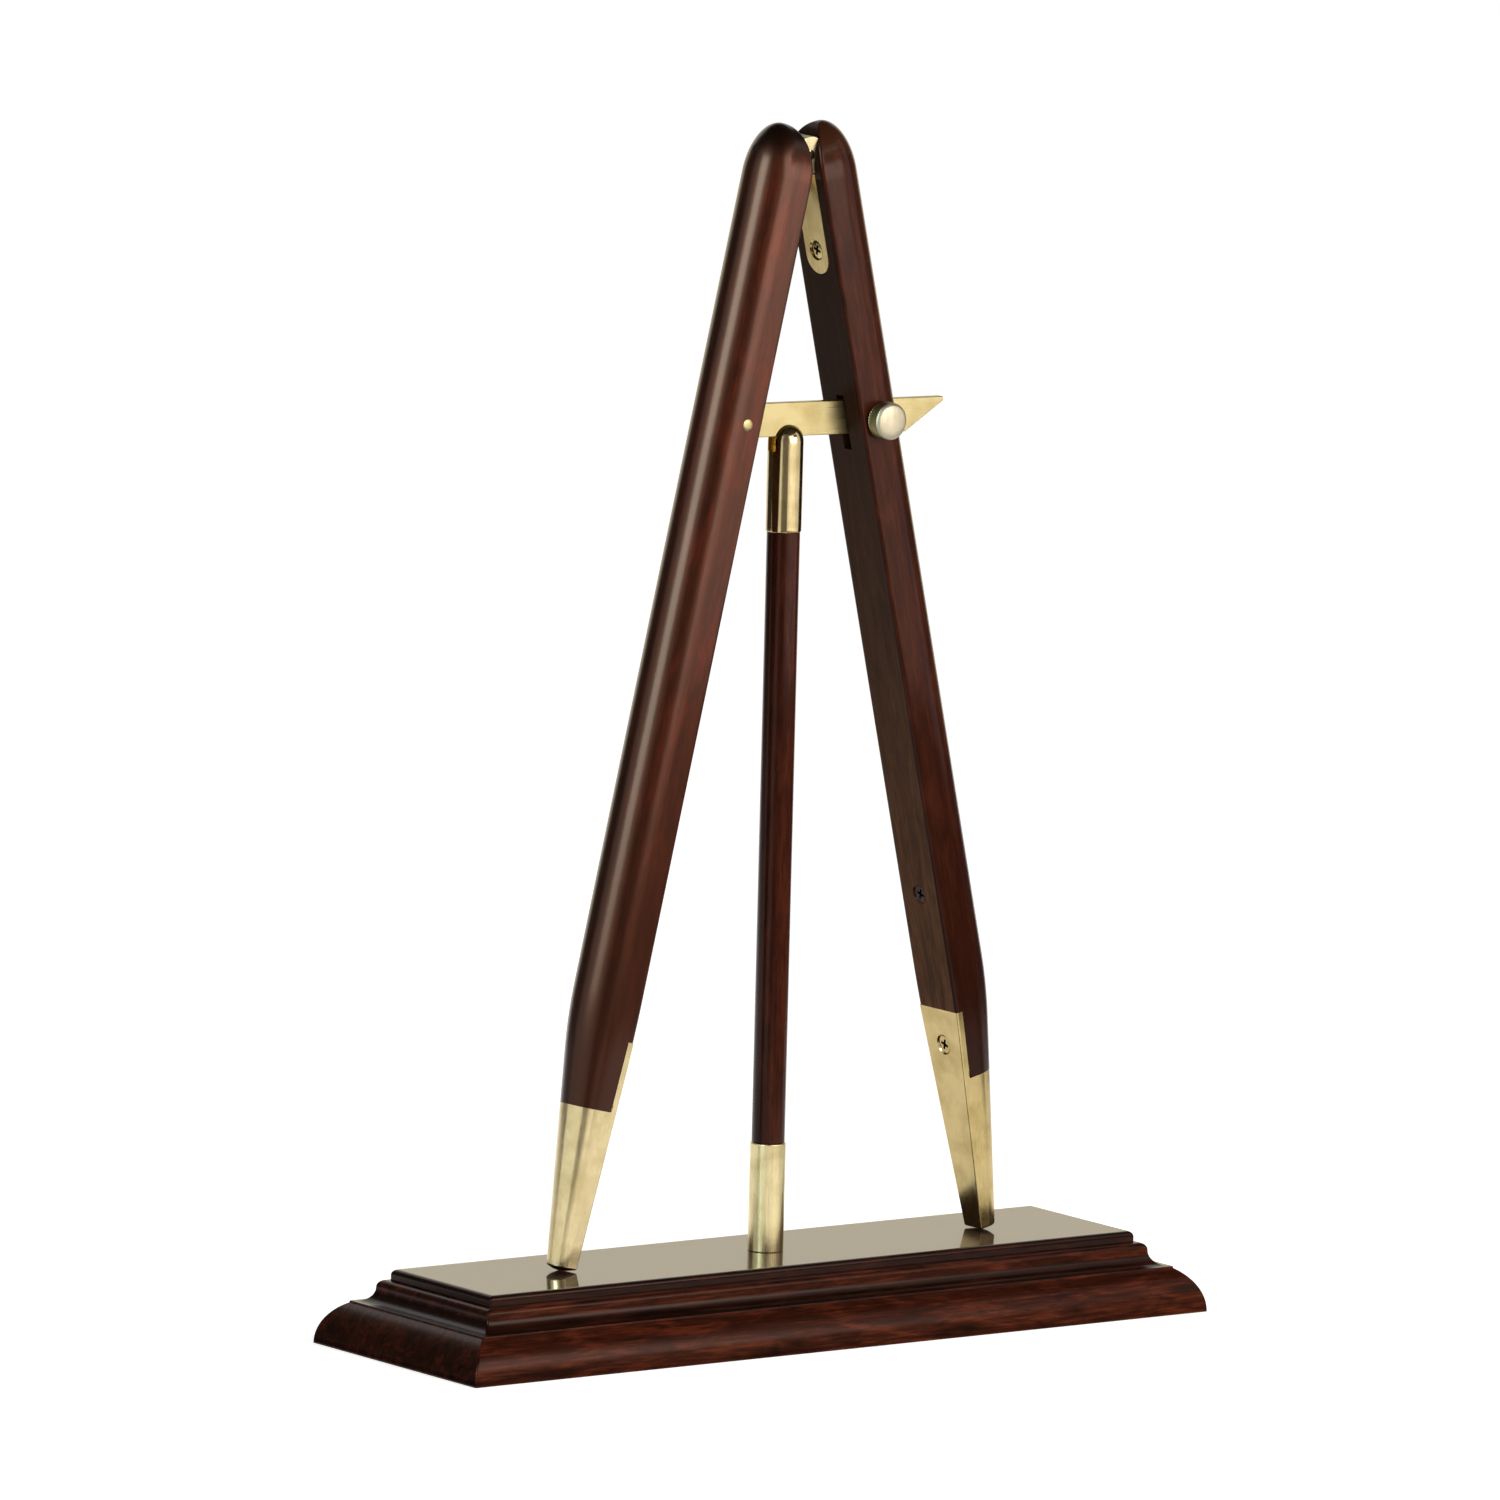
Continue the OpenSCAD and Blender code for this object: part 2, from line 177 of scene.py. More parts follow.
def turned(profile, count):
    """Rings of a turned shape: each profile point (r, z) goes round as (r cos t, r sin t, z)."""
    t = np.linspace(0, 2 * np.pi, count, endpoint=False)
    r, z = np.asarray(profile, float).T[:, :, None]
    return np.stack([r * np.cos(t), r * np.sin(t), z + 0 * t], axis=-1)


def inset(outline, distance):
    """Outline moved inwards: each point goes along the bisector of its two edges' normals, by the distance
    over the cosine of half the angle between them."""
    ahead = np.roll(outline, -1, axis=0) - outline
    normal = np.column_stack([ahead[:, 1], -ahead[:, 0]])
    normal /= np.linalg.norm(normal, axis=1, keepdims=True)
    both = normal + np.roll(normal, 1, axis=0)
    return outline - both * (2 * distance / (both ** 2).sum(1, keepdims=True))


def slab(outline, low, high, rounding=0.0, steps=4):
    """Rings of a flat plate: the outline from low to high, with quarter-round edges of the given radius."""
    if rounding == 0:
        levels = [(low, 0), (high, 0)]
    else:
        a = np.radians(np.linspace(0, 90, steps + 1))
        rise, back = rounding * (1 - np.cos(a)), rounding * (1 - np.sin(a))
        levels = [*zip(low + rise, back), *zip(high - rise[::-1], back[::-1])]
    return np.stack([np.column_stack([inset(outline, d), np.full(len(outline), h)]) for h, d in levels])


def rectangle(x0, x1, y0, y1):
    """Corners of a rectangle, counter-clockwise."""
    return np.array([(x0, y0), (x1, y0), (x1, y1), (x0, y1)], float)


def block(x0, x1, y0, y1, z0, z1):
    """Rings of a plain block, for cutting."""
    return slab(rectangle(x0, x1, y0, y1), z0, z1)


def lay(points, origin, u, v, n):
    """Points (a, b, c) moved to origin + a u + b v + c n."""
    return np.asarray(origin) + points @ np.array([u, v, n], float)


def along_y(points, origin):
    """Points of an upright shape laid so that its +Z faces the front, -Y."""
    return lay(points, origin, (1, 0, 0), (0, 0, 1), (0, -1, 0))


def on_leg(points, side):
    """From a leg's own frame, where x is outwards, the leg hangs down -z and the hinge axis is y, to the
    shared one: turned by LEG_ANGLE about that axis, to the right for side 1 and mirrored for side -1."""
    x, y, z = np.moveaxis(points, -1, 0)
    out = x * math.cos(LEG_ANGLE) - z * math.sin(LEG_ANGLE)
    up = x * math.sin(LEG_ANGLE) + z * math.cos(LEG_ANGLE)
    hinge = AT["right_leg_hinge"]
    return np.stack([hinge[0] + side * out, y + hinge[1], hinge[2] + up], axis=-1)


def off_leg(points, side):
    """From the shared frame back to a leg's own one."""
    out, y, up = np.moveaxis((points - AT["right_leg_hinge"]) * (side, 1, 1), -1, 0)
    return np.stack([out * math.cos(LEG_ANGLE) + up * math.sin(LEG_ANGLE), y,
                     up * math.cos(LEG_ANGLE) - out * math.sin(LEG_ANGLE)], axis=-1)


def solid(name, *shells):
    """Object made of closed shells. A shell is an array (rings, points, 3) in millimetres: each ring is
    joined to the next by quads. The first and last are closed by a face, unless they are the same ring.
    Points that meet are merged."""
    corners, faces, start = [], [], 0
    for rings in shells:
        rows, columns = rings.shape[:2]
        here = start + np.arange(rows * columns).reshape(rows, columns)
        beside = np.roll(here, -1, axis=1)
        quads = np.stack([here[:-1], beside[:-1], beside[1:], here[1:]], axis=-1)
        faces += quads.reshape(-1, 4).tolist()
        if not np.allclose(rings[0], rings[-1]):
            faces += [here[0, ::-1].tolist(), here[-1].tolist()]
        corners.append(rings.reshape(-1, 3) * MM)
        start += rows * columns
    mesh = bpy.data.meshes.new(name)
    mesh.from_pydata(np.concatenate(corners), [], faces)
    work = bmesh.new()
    work.from_mesh(mesh)
    bmesh.ops.remove_doubles(work, verts=work.verts, dist=0.001 * MM)
    bmesh.ops.recalc_face_normals(work, faces=work.faces)
    work.to_mesh(mesh)
    work.free()
    piece = bpy.data.objects.new(name, mesh)
    bpy.context.scene.collection.objects.link(piece)
    return piece


def carve(piece, cutters, operation="DIFFERENCE"):
    """Takes the cutters' shells out of the piece, or adds them with UNION, and keeps the new mesh."""
    tools = [solid("cutter", rings) for rings in cutters]
    for tool in tools:
        modifier = piece.modifiers.new("carve", "BOOLEAN")
        modifier.operation = operation
        modifier.solver = "EXACT"
        modifier.object = tool
    bpy.context.view_layer.update()
    result = piece.evaluated_get(bpy.context.evaluated_depsgraph_get())
    mesh = bpy.data.meshes.new_from_object(result)
    piece.modifiers.clear()
    piece.data = mesh
    for tool in tools:
        bpy.data.objects.remove(tool)
    return piece


def dress(piece, body, node, material, sharp=32):
    """Gives a piece its finish, keeps edges sharper than the given degrees crisp and broad faces flat up to
    their rounded edges, and puts it on its body."""
    piece.data.materials.clear()
    piece.data.materials.append(material)
    piece.data.shade_smooth()
    piece.data.set_sharp_from_angle(angle=math.radians(sharp))
    flats = piece.modifiers.new("flats", "WEIGHTED_NORMAL")
    flats.keep_sharp = True
    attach(piece, body)
    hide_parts(node)


def face_centres(piece):
    """Centres of a piece's faces, in millimetres."""
    centres = np.empty(len(piece.data.polygons) * 3)
    piece.data.polygons.foreach_get("center", centres)
    return centres.reshape(-1, 3) / MM


def paint(piece, chosen, material):
    """Gives the chosen faces of a dressed piece another finish."""
    piece.data.materials.append(material)
    for face in np.flatnonzero(chosen).tolist():
        piece.data.polygons[face].material_index = len(piece.data.materials) - 1


def to_linear(colour):
    """Linear RGBA of an sRGB hex colour."""
    srgb = np.array([int(colour[i:i + 2], 16) for i in (1, 3, 5)]) / 255
    linear = np.where(srgb <= 0.04045, srgb / 12.92, ((srgb + 0.055) / 1.055) ** 2.4)
    return (*linear.tolist(), 1.0)


def add(tree, kind, settings=None, inputs=None, stops=()):
    """Adds a shader node: settings are its properties, inputs its sockets' values or the sockets linked to
    them, and stops the (place, hex colour) pairs of a colour ramp. Returns its first output."""
    node = tree.nodes.new("ShaderNode" + kind)
    for key, value in (settings or {}).items():
        setattr(node, key, value)
    for key, value in (inputs or {}).items():
        if isinstance(value, bpy.types.NodeSocket):
            tree.links.new(value, node.inputs[key])
        else:
            node.inputs[key].default_value = value
    for number, (place, colour) in enumerate(stops):
        if number > 1:
            node.color_ramp.elements.new(place)
        node.color_ramp.elements[number].position = place
        node.color_ramp.elements[number].color = to_linear(colour)
    return node.outputs[0] if node.outputs else node


def new_finish(name, **values):
    """A material with the given values on its Principled shader. Returns it, its tree and the shader."""
    material = bpy.data.materials.new(name)
    material.use_nodes = True
    shader = material.node_tree.nodes["Principled BSDF"]
    for key, value in values.items():
        shader.inputs[key.replace("_", " ")].default_value = value
    return material, material.node_tree, shader


# Widths and lengths of the streaks in wood and brass, and sizes of brass's clouds and the oxide's grain
FIBRE = (0.7, 14.0)
FIGURE = (3.5, 16.0)
PORE = (0.5, 5.0)
POLISHING_LINE = (0.3, 12.0)
CLOUD = 6.0
OXIDE_GRAIN = 0.6

# Share of the figure in the wood's tone, and where end grain begins to show on a leg's dome and is full
FIGURE_SHARE = 0.6
END_GRAIN_Z = -3.5
END_GRAIN_FULL_Z = 1.5

# Painted shade on wood: the heights where it begins and where it is full, its share there and its colour
NO_PAINTED_SHADE = (0.0, 1.0, 0.0, "#000000")
# Painted shade on the legs' varnished wood, darker towards the foot
PAINTED_SHADE_FOOT = (-130.0, -WOOD_END, 0.9, "#220c05")
# Painted shade on the legs' bare flat faces, brown-black towards the hinge where the legs shade each other
PAINTED_SHADE_HEAD = (-WOOD_END, -80.0, 0.9, "#2f1c12")


def streaks(size):
    """Mapping scale that turns millimetres into streaks of the given width and length along z."""
    width, length = size
    return (1 / width, 1 / width, 1 / length)


def mahogany(name, origin, turn, stain, painted_shade=NO_PAINTED_SHADE, **surface):
    """Stained mahogany: long fibres along the grain, slow mottled figure from near-black to red, and short
    dark pores, drawn wide enough to show. The grain runs along z of a frame at origin turned by the given
    angles, and all patterns and heights are in millimetres there."""
    material, tree, shader = new_finish(name, **surface)
    add(tree, "TexCoord")
    place = tree.nodes[-1].outputs["Object"]
    local = add(tree, "Mapping", {"vector_type": "TEXTURE"},
                {"Vector": place, "Location": [v * MM for v in origin], "Rotation": turn,
                 "Scale": (MM, MM, MM)})
    fibre_place = add(tree, "Mapping", None, {"Vector": local, "Scale": streaks(FIBRE)})
    fibre = add(tree, "TexNoise", None,
                {"Vector": fibre_place, "Scale": 1.0, "Detail": 4.0, "Roughness": 0.6})
    figure_place = add(tree, "Mapping", None, {"Vector": local, "Scale": streaks(FIGURE)})
    figure = add(tree, "TexNoise", None,
                 {"Vector": figure_place, "Scale": 1.0, "Detail": 3.0, "Roughness": 0.55, "Distortion": 0.8})
    pore_place = add(tree, "Mapping", None, {"Vector": local, "Scale": streaks(PORE)})
    pore = add(tree, "TexNoise", None, {"Vector": pore_place, "Scale": 1.0, "Detail": 1.0})
    tone = add(tree, "Math", {"operation": "MULTIPLY"}, {0: fibre, 1: 1 - FIGURE_SHARE})
    tone = add(tree, "Math", {"operation": "MULTIPLY_ADD"}, {0: figure, 1: FIGURE_SHARE, 2: tone})
    dark, middle, red, end_grain = stain
    colour = add(tree, "ValToRGB", None, {"Fac": tone}, [(0.36, dark), (0.50, middle), (0.64, red)])
    hollow = add(tree, "ValToRGB", None, {"Fac": pore}, [(0.58, "#000000"), (0.70, "#c8c8c8")])
    add(tree, "Mix", {"data_type": "RGBA"}, {0: hollow, 6: colour, 7: to_linear(dark)})
    pored = tree.nodes[-1].outputs[2]
    add(tree, "SeparateXYZ", None, {"Vector": local})
    height = tree.nodes[-1].outputs["Z"]
    soaked = add(tree, "MapRange", {"interpolation_type": "SMOOTHSTEP"},
                 {"Value": height, "From Min": END_GRAIN_Z, "From Max": END_GRAIN_FULL_Z})
    add(tree, "Mix", {"data_type": "RGBA"}, {0: soaked, 6: pored, 7: to_linear(end_grain)})
    domed = tree.nodes[-1].outputs[2]
    # Painted shade: between two heights the colour darkens towards the given one
    begins, full, share, painted_shade_colour = painted_shade
    painted_shade_share = add(tree, "MapRange", None,
                  {"Value": height, "From Min": begins, "From Max": full, "To Max": share})
    add(tree, "Mix", {"data_type": "RGBA"}, {0: painted_shade_share, 6: domed, 7: to_linear(painted_shade_colour)})
    tree.links.new(tree.nodes[-1].outputs[2], shader.inputs["Base Color"])
    bump = add(tree, "Bump", None, {"Strength": 0.1, "Distance": 0.1 * MM, "Height": fibre})
    tree.links.new(bump, shader.inputs["Normal"])
    return material


def varnished_mahogany(name, origin, turn, stain, coat, sheen, painted_shade=NO_PAINTED_SHADE):
    """Mahogany under rubbed varnish: a thin clear coat over the wide, reddish sheen of stained fibres."""
    return mahogany(name, origin, turn, stain, painted_shade, Roughness=0.33, Specular_IOR_Level=sheen,
                    Specular_Tint=to_linear("#ffac89"), Coat_Weight=1.0, Coat_Roughness=0.17, Coat_IOR=coat)


def polished_mahogany(name, origin, turn, stain):
    """Mahogany under a thick polish, flat enough to mirror sharply."""
    return mahogany(name, origin, turn, stain, Roughness=0.5, Specular_IOR_Level=0.1,
                    Coat_Weight=1.0, Coat_Roughness=0.04, Coat_IOR=1.45)


def bare_mahogany(name, origin, turn):
    """Planed mahogany with stain and no varnish, dull, paler at the foot and brown-black by the hinge, which
    is painted shade where the legs shade each other.
    """
    return mahogany(name, origin, turn, PALE, PAINTED_SHADE_HEAD, Roughness=0.6, Specular_IOR_Level=0.08)


def brass(name, turn, roughness, dull, bright):
    """Lacquered brass: warm pale gold, a little cloudy where it has dulled, with polishing lines along z of
    a frame turned by the given angles, drawn wide enough to show."""
    material, tree, shader = new_finish(name, Metallic=1.0, Roughness=roughness)
    add(tree, "TexCoord")
    place = tree.nodes[-1].outputs["Object"]
    local = add(tree, "Mapping", {"vector_type": "TEXTURE"},
                {"Vector": place, "Rotation": turn, "Scale": (MM, MM, MM)})
    cloud = add(tree, "TexNoise", None,
                {"Vector": local, "Scale": 1 / CLOUD, "Detail": 3.0, "Roughness": 0.5})
    line_place = add(tree, "Mapping", None, {"Vector": local, "Scale": streaks(POLISHING_LINE)})
    lines = add(tree, "TexNoise", None, {"Vector": line_place, "Scale": 1.0, "Detail": 2.0})
    colour = add(tree, "ValToRGB", None, {"Fac": cloud}, [(0.30, dull), (0.60, bright)])
    tree.links.new(colour, shader.inputs["Base Color"])
    worn = add(tree, "MapRange", None,
               {"Value": lines, "From Min": 0.3, "From Max": 0.7,
                "To Min": roughness * 0.8, "To Max": roughness * 1.25})
    tree.links.new(worn, shader.inputs["Roughness"])
    bump = add(tree, "Bump", None, {"Strength": 0.04, "Distance": 0.05 * MM, "Height": lines})
    tree.links.new(bump, shader.inputs["Normal"])
    return material


def blackened_steel(name):
    """Steel screw that has gone dark: brown-black oxide with a dull shine and a grainy surface. It also paints
    the shade under the shoes' soles and in the screws' recesses.
    """
    material, tree, shader = new_finish(name, Metallic=0.8, Roughness=0.45)
    add(tree, "TexCoord")
    place = tree.nodes[-1].outputs["Object"]
    local = add(tree, "Mapping", {"vector_type": "TEXTURE"}, {"Vector": place, "Scale": (MM, MM, MM)})
    grain = add(tree, "TexNoise", None, {"Vector": local, "Scale": 1 / OXIDE_GRAIN, "Detail": 3.0})
    colour = add(tree, "ValToRGB", None, {"Fac": grain}, [(0.35, "#22140f"), (0.70, "#4c3729")])
    tree.links.new(colour, shader.inputs["Base Color"])
    bump = add(tree, "Bump", None, {"Strength": 0.2, "Distance": 0.05 * MM, "Height": grain})
    tree.links.new(bump, shader.inputs["Normal"])
    return material


# Stains: the wood's darkest, middle and reddest colour, and that of its end grain
DEEP = ("#1e0a04", "#34140a", "#521c0f", "#120804")
CALM = ("#270e06", "#38170d", "#492013", "#3a2013")
MOTTLED = ("#1a0803", "#36150a", "#5c2816", "#150904")
# Darkest stain: darker colour on the plinth's slab edge, and painted shade in the cove under it
DARK_EDGE_AND_COVE_SHADE = ("#100502", "#1c0a05", "#30140a", "#150904")
# Pale stain for the bare flat faces, which painted shade darkens towards the hinge
PALE = ("#5e3f2a", "#80573b", "#946a4b", "#2a180f")

# Ways the grain and the polishing lines run, and points in the heart of each piece's own wood
UPRIGHT = (0, 0, 0)
ALONG_X = (0, math.pi / 2, 0)
LEAN = {1: (0, -LEG_ANGLE, 0), -1: (0, LEG_ANGLE, 0)}
LEG_HEART = np.array([40.0, 0, 0])
ROD_HEART = (0, 50, 300)
BASE_HEART = (200, 20, 90)

SIDE_NAME = {1: "right", -1: "left"}

# Each leg has its own copies, the left painted lit and the right painted in shade: the right leg's brass is
# darker and its wood's sheen weaker (0.08 against 0.4)
leg_wood, flat_wood, leg_brass = {}, {}, {}
for side, stain, sheen, dull, bright in ((1, CALM, 0.08, "#ab9662", "#bfab78"),
                                         (-1, DEEP, 0.4, "#c1b082", "#d2c297")):
    name = SIDE_NAME[side]
    heart = on_leg(LEG_HEART, side)
    leg_wood[side] = varnished_mahogany(f"varnished_mahogany_{name}_leg", heart, LEAN[side], stain,
                                        coat=1.18, sheen=sheen, painted_shade=PAINTED_SHADE_FOOT)
    flat_wood[side] = bare_mahogany(f"stained_mahogany_{name}_flat", heart, LEAN[side])
    leg_brass[side] = brass(f"polished_brass_{name}_leg", LEAN[side], 0.21, dull, bright)
rod_wood = varnished_mahogany("varnished_mahogany_rod", ROD_HEART, UPRIGHT, CALM, coat=1.2, sheen=0.08)
base_wood = varnished_mahogany("varnished_mahogany_plinth", BASE_HEART, ALONG_X, MOTTLED,
                               coat=1.12, sheen=0.1)
dark_edge_and_shaded_cove_wood = varnished_mahogany("varnished_mahogany_dark_edge_and_shaded_cove", BASE_HEART, ALONG_X, DARK_EDGE_AND_COVE_SHADE,
                                 coat=1.16, sheen=0.1)
base_top = polished_mahogany("polished_mahogany_plinth", BASE_HEART, ALONG_X, MOTTLED)
rod_brass = brass("polished_brass_rod", UPRIGHT, 0.14, "#b3a074", "#cab98c")
ferrule_brass = brass("satin_brass_ferrule", UPRIGHT, 0.3, "#cdbc8a", "#e6d8a8")
bar_brass = brass("satin_brass_bar", ALONG_X, 0.32, "#92855c", "#a1966e")
knob_brass = brass("satin_brass_knob", UPRIGHT, 0.5, "#a69e88", "#b3ac98")
knuckle_brass = brass("satin_brass_knuckles", UPRIGHT, 0.45, "#9d9476", "#afa686")
dark_steel_and_painted_shade = blackened_steel("blackened_steel_and_painted_shade")


def base_profile():
    """Moulding of the plinth as (inset, z): ovolo, square fillet, cove, rounded shoulder and top slab."""
    top_angle = math.degrees(math.asin(LEDGE_Z / OVOLO_R))
    ovolo = arc((OVOLO_R, 0), OVOLO_R, 180, 180 - top_angle, 16)
    fillet = arc((OVOLO_IN + FILLET_R, COVE_Z - FILLET_R), FILLET_R, 180, 90, 3)
    cove_in = OVOLO_IN + FILLET_IN
    cove = arc((cove_in, COVE_Z + COVE_R), COVE_R, 270, 360, 10)
    neck_in = cove_in + COVE_R
    shoulder = arc((neck_in + SHOULDER_R, SLAB_Z - SHOULDER_R), SHOULDER_R, 180, 90, 6)
    slab_in = neck_in + SLAB_STEP
    edge = arc((slab_in + SLAB_R, BASE_H - SLAB_R), SLAB_R, 180, 90, 8)
    return np.vstack([ovolo, fillet, cove, shoulder, [(slab_in, SLAB_Z)], edge])


def moulded_plinth():
    """The profile carried round a rectangle: ring by ring, a rectangle with corners of radius MITRE_R, drawn
    in by the profile's inset. The slab's edge is painted darker, the cove under it has painted shade, and the
    top is polished."""
    steps = 4
    corners = np.vstack([arc((0, 0), 1.0, start, start + 90, steps) for start in (0, 90, 180, 270)])
    quadrant = np.repeat(np.array([(1, 1), (-1, 1), (-1, -1), (1, -1)], float), steps + 1, axis=0)
    depth, height = base_profile().T[:, :, None]
    x = quadrant[:, 0] * (BASE_LEN / 2 - MITRE_R - depth) + MITRE_R * corners[:, 0]
    y = quadrant[:, 1] * (BASE_DEP / 2 - MITRE_R - depth) + MITRE_R * corners[:, 1]
    piece = solid("moulded_plinth", np.stack([x, y, height + 0 * x], axis=-1))
    bore = FIX_D / 2 + SEAT_FIT
    hole = [(0, -PAST), (FIX_HEAD_D / 2 + PAST, -PAST), (bore, (FIX_HEAD_D - FIX_D) / 2),
            (bore, BASE_H + PAST), (0, BASE_H + PAST)]
    carve(piece, [turned(hole, 48)])
    dress(piece, "stand", "base_plinth", base_wood)
    z = face_centres(piece)[:, 2]
    # The slab's edge is painted darker, and the lower part of the cove under it gets painted shade
    paint(piece, (z > SLAB_Z) | ((z > COVE_Z - HAIR) & (z < COVE_Z + COVE_R * 0.7)), dark_edge_and_shaded_cove_wood)
    paint(piece, z > BASE_H - HAIR, base_top)


moulded_plinth()

# The rod and its brass
FERRULE_LOW, FERRULE_HIGH = size_of("rod_ferrule")
CAP_Z = size_of("rod_cap")[0][2]
PIN_AT = AT["stay_bar_pivot"]
CLAMP_AT = AT["thumbscrew_turn"]
CAP_TOP = CAP_Z + CAP_LEN
LIP = 0.25


def turned_rod():
    """Round rod, with a slimmer spigot at each end that goes into the brass."""
    r, spigot = ROD_D / 2, SPIGOT_D / 2
    foot, head = FERRULE_HIGH[2], CAP_Z
    profile = [(0, BASE_H), (spigot, BASE_H), (spigot, foot), (r - LIP, foot), (r, foot + LIP),
               *between((r, foot + LIP), (r, head - LIP), 10), (r, head - LIP), (r - LIP, head),
               (spigot, head), (spigot, head + SPIGOT_LEN), (0, head + SPIGOT_LEN)]
    dress(solid("turned_rod", turned(profile, 96)), "stand", "centre_rod", rod_wood)


def ferrule():
    """Brass sleeve with rounded lips."""
    r, bore, low, high = BRASS_D / 2, SPIGOT_D / 2 + SEAT_FIT, FERRULE_LOW[2], FERRULE_HIGH[2]
    profile = np.vstack([[(bore, low)], arc((r - LIP, low + LIP), LIP, -90, 0, 4),
                         arc((r - LIP, high - LIP), LIP, 0, 90, 4), [(bore, high)]])
    piece = solid("rod_ferrule_sleeve", turned(np.vstack([profile, profile[:1]]), 96))
    dress(piece, "stand", "rod_ferrule", ferrule_brass)


def forked_cap():
    """Brass cap with a domed top, bored for the spigot, and forked for the bar to drop in."""
    r, bore = BRASS_D / 2, SPIGOT_D / 2 + SEAT_FIT
    bore_top = CAP_Z + SPIGOT_LEN + 0.1
    profile = np.vstack([[(0, bore_top), (bore, bore_top), (bore, CAP_Z)],
                         arc((r - LIP, CAP_Z + LIP), LIP, -90, 0, 4),
                         between((r, CAP_Z + LIP), (r, CAP_TOP - r), 6),
                         arc((0, CAP_TOP - r), r, 0, 90, 24)])
    piece = solid("forked_cap", turned(profile, 96))
    carve(piece, [block(-r - PAST, r + PAST, -MORTISE_W / 2, MORTISE_W / 2,
                        CAP_TOP - FORK_DEPTH, CAP_TOP + PAST)])
    dress(piece, "stand", "rod_cap", rod_brass)


turned_rod()
ferrule()
forked_cap()


def leg_section(edge):
    """Cross-section of a leg as (x, y): flat inner face on x = 0 with rounded edges, straight sides and a
    half-round back."""
    flat, back = LEG_W / 2 - edge, LEG_T - LEG_W / 2
    return np.vstack([
        between((0, flat), (0, -flat), 14),
        arc((edge, -flat), edge, 180, 270, 6), between((edge, -LEG_W / 2), (back, -LEG_W / 2), 5),
        arc((back, 0), LEG_W / 2, -90, 90, 48), between((back, LEG_W / 2), (edge, LEG_W / 2), 5),
        arc((edge, flat), edge, 90, 180, 6)])


def taper_share(down):
    """Share of the full section at a distance down the leg: 1 above the taper, then an even taper that
    starts along a parabola TAPER_BEND long."""
    run = down - (LEG_LEN - TAPER_LEN)
    soft = np.clip(run + TAPER_BEND / 2, 0, None) ** 2 / (2 * TAPER_BEND)
    run = np.where(run > TAPER_BEND / 2, run, soft)
    return 1 - (1 - SOLE_SHARE) * run / TAPER_LEN


def loft(levels, edge=EDGE_R):
    """Rings of the leg's section at levels (z, scale, x), scaled about the point x of its middle line."""
    z, scale, middle = np.asarray(levels, float).T[:, :, None]
    x, y = leg_section(edge).T
    return np.stack([HALF_GAP + middle + (x - middle) * scale, y * scale, z + 0 * x], axis=-1)


def tapered(downs, edge=EDGE_R):
    """Rings of the tapering leg at the given distances from the hinge axis."""
    return loft([(-s, taper_share(s), 0) for s in downs], edge)


def into_leg(profile, x, down, count=48):
    """Rings of a turned shape (r, depth) that goes outwards into a leg from depth x behind its flat face."""
    return lay(turned(profile, count), (HALF_GAP + x, 0, -down), *OUTWARDS)


def across_leg(radius, y0, y1, x=0.0, down=0.0, count=64):
    """Rings of a cylinder along the hinge axis' direction, from y0 to y1."""
    rings = turned([(0, y0), (radius, y0), (radius, y1), (0, y1)], count)
    return lay(rings, (x, 0, -down), *BACKWARDS)


def leaf_plate(x0, x1, grown):
    """Rings of the leaf's outline, grown a little, from depth x0 to x1 behind the leg's flat face."""
    half = LEAF_W / 2 + grown
    foot = LEAF_W / 2 - LEAF_LEN
    outline = np.vstack([[(half, 0), (-half, 0)], arc((0, foot), half, 180, 360, 24)])
    return lay(slab(outline, x0, x1), (HALF_GAP, 0, 0), *OUTWARDS)


def countersink(head_d):
    """Profile (r, depth) of a screw's countersunk hole, from a little above the face. The head lies
    SCREW_SUNK deep."""
    above, shank = 0.5, SCREW_D / 2 + SEAT_FIT
    return [(0, -above), (head_d / 2 + SCREW_SUNK + above, -above), (shank, SCREW_SUNK + head_d / 2 - shank),
            (shank, SCREW_LEN + above), (0, SCREW_LEN + above)]


